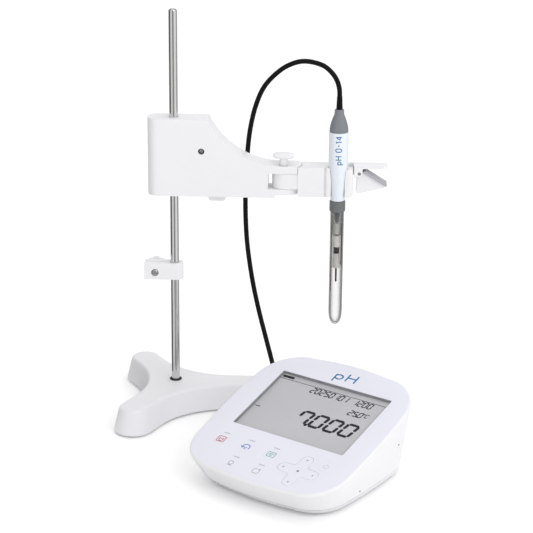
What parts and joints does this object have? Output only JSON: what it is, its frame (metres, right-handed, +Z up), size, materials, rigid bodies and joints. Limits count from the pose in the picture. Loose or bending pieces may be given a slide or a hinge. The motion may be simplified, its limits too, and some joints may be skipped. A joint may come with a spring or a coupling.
{
  "type": "bench pH meter with electrode stand",
  "caption": "Bench pH meter with a sloping display panel beside a rod stand whose swinging arm holds a glass electrode on a cable.",
  "frame": {"origin": "table level, under the middle of the whole set without its cable", "axes": "+Z up, +X along the arm from the rod to the electrode, -Y to the front"},
  "size_m": [0.2754, 0.3322, 0.389],
  "materials": {
    "white": "moulded, fine texture",
    "pale": "moulded, satin",
    "panel": "moulded, satin",
    "grey": "moulded, satin",
    "dark": "moulded",
    "steel": "ground",
    "ballast": "as cast",
    "rubber": "moulded",
    "glass": "clear",
    "sleeve": "translucent",
    "display": "reflective display",
    "board": "solder mask",
    "brass": "turned"
  },
  "bodies": {
    "stand": {"base_foot_1": "rubber", "base_foot_2": "rubber", "base_foot_3": "rubber", "base_weight": "ballast", "cable": "rubber", "cable_coil": "rubber", "cable_lead": "rubber", "circuit_board": "board", "electrode_socket": "steel", "lcd_module": "display", "lcd_window": "glass", "meter_bottom_case": "white", "meter_foot_back": "rubber", "meter_foot_front": "rubber", "meter_rear_panel": "grey", "meter_top_case": "panel", "plug": "steel", "plug_boot": "rubber", "rod_collar": "dark", "rod_screw": "steel", "stand_base": "pale", "stand_rod": "steel", "temperature_jack": "steel"},
    "stopper": {"stopper_block": "white"},
    "stopper_knob": {"stopper_knob": "white", "stopper_screw": "steel"},
    "carriage": {"bush_top": "grey", "bush_bottom": "grey"},
    "arm": {"arm_housing": "white", "arm_cover": "white", "lock_spring": "steel", "lever_pin": "steel", "cable_clip": "white", "pivot_nut": "steel"},
    "release_lever": {"release_lever": "white"},
    "lock_plate": {"lock_plate": "steel"},
    "pivot_screw": {"pivot_screw": "white"},
    "holder": {"holder_block": "white", "jaw_pin": "steel", "clamp_pin": "steel", "clamp_spring": "steel"},
    "clip_jaw": {"clip_jaw": "white"},
    "clamp_lever": {"clamp_lever": "white", "clamp_pad": "grey"},
    "electrode": {"electrode_cone": "grey", "electrode_cap": "white", "electrode_collar": "sleeve", "electrode_stem": "glass", "electrode_inner_tube": "glass", "electrode_plug": "grey", "electrode_element": "brass", "cable_boot": "rubber"},
    "key_red": {"key_red": "panel"},
    "key_blue": {"key_blue": "panel"},
    "key_green": {"key_green": "panel"},
    "key_grey_left": {"key_grey_left": "panel"},
    "key_grey_right": {"key_grey_right": "panel"},
    "key_power": {"key_power": "panel"},
    "key_arrow_pad": {"key_arrow_pad": "panel"},
    "key_centre": {"key_centre": "panel"}
  },
  "joints": [
    {"name": "stopper_slide", "type": "slide", "parent": "stand", "child": "stopper", "axis": [0, 0, 1], "range_m": [-0.09, 0.012]},
    {"name": "stopper_knob_turn", "type": "hinge", "parent": "stopper", "child": "stopper_knob", "pos_m": [-0.10257, 0.08962, 0.1362], "axis": [0, 1, 0], "range_deg": [0, 270]},
    {"name": "arm_lift", "type": "slide", "parent": "stand", "child": "carriage", "axis": [0, 0, 1], "range_m": [-0.055, 0.09], "deforming": ["cable"]},
    {"name": "arm_swivel", "type": "hinge", "parent": "carriage", "child": "arm", "pos_m": [-0.08397, 0.08962, 0.25], "axis": [0, 0, 1], "range_deg": [-10, 90], "deforming": ["cable"]},
    {"name": "release_lever_hinge", "type": "hinge", "parent": "arm", "child": "release_lever", "pos_m": [-0.05767, 0.08962, 0.2575], "axis": [0, 1, 0], "range_deg": [0, 8], "stiffness_Nm_per_rad": 0.4},
    {"name": "lock_plate_hinge", "type": "hinge", "parent": "arm", "child": "lock_plate", "pos_m": [-0.09597, 0.08962, 0.246], "axis": [0, 1, 0], "range_deg": [-4, 0], "deforming": ["lock_spring"]},
    {"name": "pivot_screw_turn", "type": "hinge", "parent": "arm", "child": "pivot_screw", "pos_m": [0.01853, 0.08962, 0.25], "axis": [0, 0, 1], "range_deg": [0, 270]},
    {"name": "holder_swivel", "type": "hinge", "parent": "arm", "child": "holder", "pos_m": [0.01853, 0.08962, 0.23], "axis": [0, 0, 1], "range_deg": [-30, 75], "deforming": ["cable"]},
    {"name": "jaw_hinge", "type": "hinge", "parent": "holder", "child": "clip_jaw", "pos_m": [0.08103, 0.09122, 0.23], "axis": [0, 0, 1], "range_deg": [0, 3.5]},
    {"name": "clamp_squeeze", "type": "hinge", "parent": "holder", "child": "clamp_lever", "pos_m": [0.08943, 0.08962, 0.2376], "axis": [0, -1, 0], "range_deg": [0, 7], "stiffness_Nm_per_rad": 0.2, "deforming": ["clamp_spring"]},
    {"name": "electrode_lift", "type": "slide", "parent": "holder", "child": "electrode", "axis": [0, 0, 1], "range_m": [0, 0.003], "deforming": ["cable"]},
    {"name": "key_red_press", "type": "slide", "parent": "stand", "child": "key_red", "axis": [0.1654, 0.2452, -0.9553], "range_m": [0, 0.0005], "stiffness_N_per_m": 1000},
    {"name": "key_blue_press", "type": "slide", "parent": "stand", "child": "key_blue", "axis": [0.1654, 0.2452, -0.9553], "range_m": [0, 0.0005], "stiffness_N_per_m": 1000},
    {"name": "key_green_press", "type": "slide", "parent": "stand", "child": "key_green", "axis": [0.1654, 0.2452, -0.9553], "range_m": [0, 0.0005], "stiffness_N_per_m": 1000},
    {"name": "key_grey_left_press", "type": "slide", "parent": "stand", "child": "key_grey_left", "axis": [0.1654, 0.2452, -0.9553], "range_m": [0, 0.0005], "stiffness_N_per_m": 1000},
    {"name": "key_grey_right_press", "type": "slide", "parent": "stand", "child": "key_grey_right", "axis": [0.1654, 0.2452, -0.9553], "range_m": [0, 0.0005], "stiffness_N_per_m": 1000},
    {"name": "key_power_press", "type": "slide", "parent": "stand", "child": "key_power", "axis": [0.1654, 0.2452, -0.9553], "range_m": [0, 0.0005], "stiffness_N_per_m": 1000},
    {"name": "key_arrow_pad_press", "type": "slide", "parent": "stand", "child": "key_arrow_pad", "axis": [0.1654, 0.2452, -0.9553], "range_m": [0, 0.0005], "stiffness_N_per_m": 1000},
    {"name": "key_centre_press", "type": "slide", "parent": "stand", "child": "key_centre", "axis": [0.1654, 0.2452, -0.9553], "range_m": [0, 0.0005], "stiffness_N_per_m": 1000}
  ],
  "couplings": [
    {"joint": "lock_plate_hinge", "follows": "release_lever_hinge", "ratio": -0.5},
    {"joint": "jaw_hinge", "follows": "clamp_squeeze", "ratio": 0.5}
  ]
}
